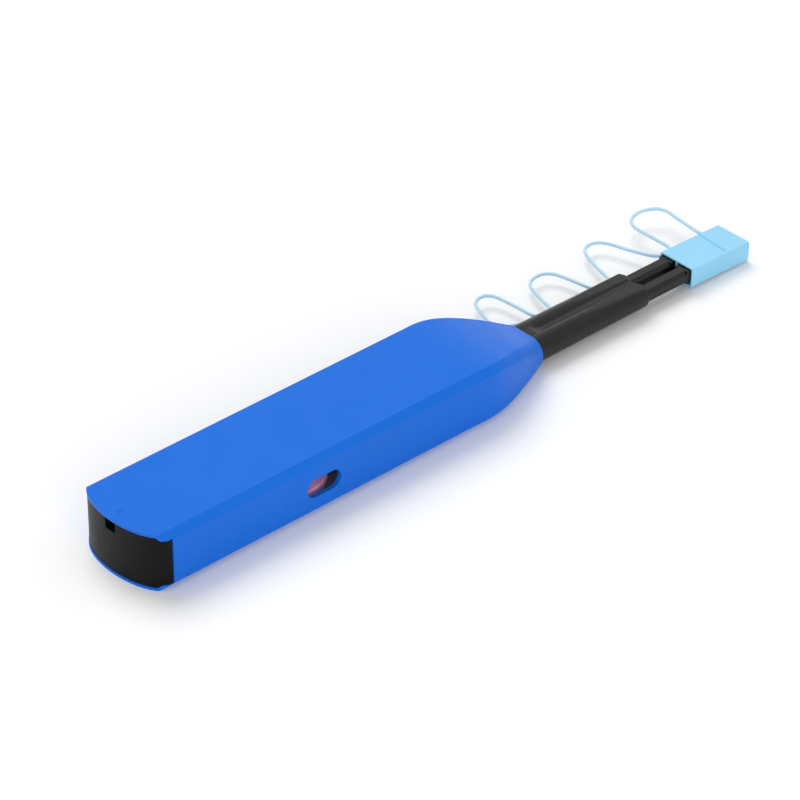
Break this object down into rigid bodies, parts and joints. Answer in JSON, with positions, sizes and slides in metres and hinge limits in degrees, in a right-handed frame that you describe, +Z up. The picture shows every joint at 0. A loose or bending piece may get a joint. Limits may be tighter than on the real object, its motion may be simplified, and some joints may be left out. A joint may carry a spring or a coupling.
{
  "type": "fibre connector cleaning pen",
  "caption": "Push-to-clean pen for duplex fibre connectors, with a sliding sleeve, a twin-barrel nozzle, sprung cleaning tips and a tethered dust cap.",
  "frame": {"origin": "on the flat underside of the sleeve, below the middle of the pen and its cap", "axes": "+X forwards along the pen to the cleaning tips and cap, +Y to the left seen from above, towards the tether, +Z up out of the top face"},
  "size_m": [0.2162, 0.0421, 0.0165],
  "materials": {
    "sleeve_plastic": "moulded ABS with a fine matt texture, bright blue",
    "core_plastic": "moulded ABS, dark blue-grey",
    "black_plastic": "moulded ABS, black",
    "nozzle_plastic": "moulded glass-filled nylon, black, with a soft gloss",
    "gear_plastic": "moulded acetal, off-white",
    "reel_plastic": "moulded polypropylene, pink",
    "steel": "zinc-plated steel",
    "spring_steel": "drawn spring wire",
    "thread": "lint-free woven microfibre thread",
    "cap_plastic": "moulded soft polyethylene, pale blue"
  },
  "bodies": {
    "sleeve": {"shell": "sleeve_plastic", "rack": "sleeve_plastic", "spring_anchor": "sleeve_plastic"},
    "core": {"core_base": "core_plastic", "core_cover": "core_plastic", "tail_block": "black_plastic", "nozzle": "nozzle_plastic", "axles": "steel", "axle_clips": "spring_steel", "cover_screws": "steel", "flange_screws": "steel", "guide_pins": "steel", "feed_threads": "thread", "return_spring": "spring_steel", "tip_spring_right": "spring_steel", "tip_spring_left": "spring_steel", "tether": "cap_plastic"},
    "gear": {"drive_gear": "gear_plastic"},
    "takeup": {"takeup_reel": "gear_plastic", "takeup_thread": "thread"},
    "supply": {"supply_reel": "reel_plastic", "supply_thread": "thread"},
    "pawl": {"pawl": "gear_plastic"},
    "tip_right": {"tip_right": "nozzle_plastic", "pad_right": "thread"},
    "tip_left": {"tip_left": "nozzle_plastic", "pad_left": "thread"},
    "cap": {"cap": "cap_plastic"}
  },
  "joints": [
    {"name": "push", "type": "slide", "parent": "sleeve", "child": "core", "axis": [1, 0, 0], "range_m": [-0.01, 0], "stiffness_N_per_m": 500, "springref_m": 0.004, "deforming": ["return_spring"]},
    {"name": "gear_turn", "type": "hinge", "parent": "core", "child": "gear", "pos_m": [-0.02694, 0, 0.0035], "axis": [0, 0, 1], "range_deg": [-96, 1]},
    {"name": "takeup_turn", "type": "hinge", "parent": "core", "child": "takeup", "pos_m": [-0.02694, 0, 0.009], "axis": [0, 0, 1], "range_deg": [-96, 1]},
    {"name": "supply_turn", "type": "hinge", "parent": "core", "child": "supply", "pos_m": [-0.05444, 0, 0.0075], "axis": [0, 0, 1], "range_deg": [-69, 1]},
    {"name": "pawl_click", "type": "hinge", "parent": "core", "child": "pawl", "pos_m": [-0.03944, -0.0086, 0.005], "axis": [0, 0, 1], "range_deg": [-8, 0], "stiffness_Nm_per_rad": 0.002, "springref_deg": 2.86},
    {"name": "tip_right_push", "type": "slide", "parent": "core", "child": "tip_right", "axis": [1, 0, 0], "range_m": [-0.003, 0], "stiffness_N_per_m": 400, "springref_m": 0.002, "deforming": ["tip_spring_right"]},
    {"name": "tip_left_push", "type": "slide", "parent": "core", "child": "tip_left", "axis": [1, 0, 0], "range_m": [-0.003, 0], "stiffness_N_per_m": 400, "springref_m": 0.002, "deforming": ["tip_spring_left"]},
    {"name": "cap_off", "type": "slide", "parent": "core", "child": "cap", "axis": [1, 0, 0], "range_m": [0, 0.022]}
  ],
  "couplings": [
    {"joint": "gear_turn", "follows": "push", "rad_per_m": 166.67},
    {"joint": "takeup_turn", "follows": "push", "rad_per_m": 166.67},
    {"joint": "supply_turn", "follows": "push", "rad_per_m": 119.7}
  ]
}
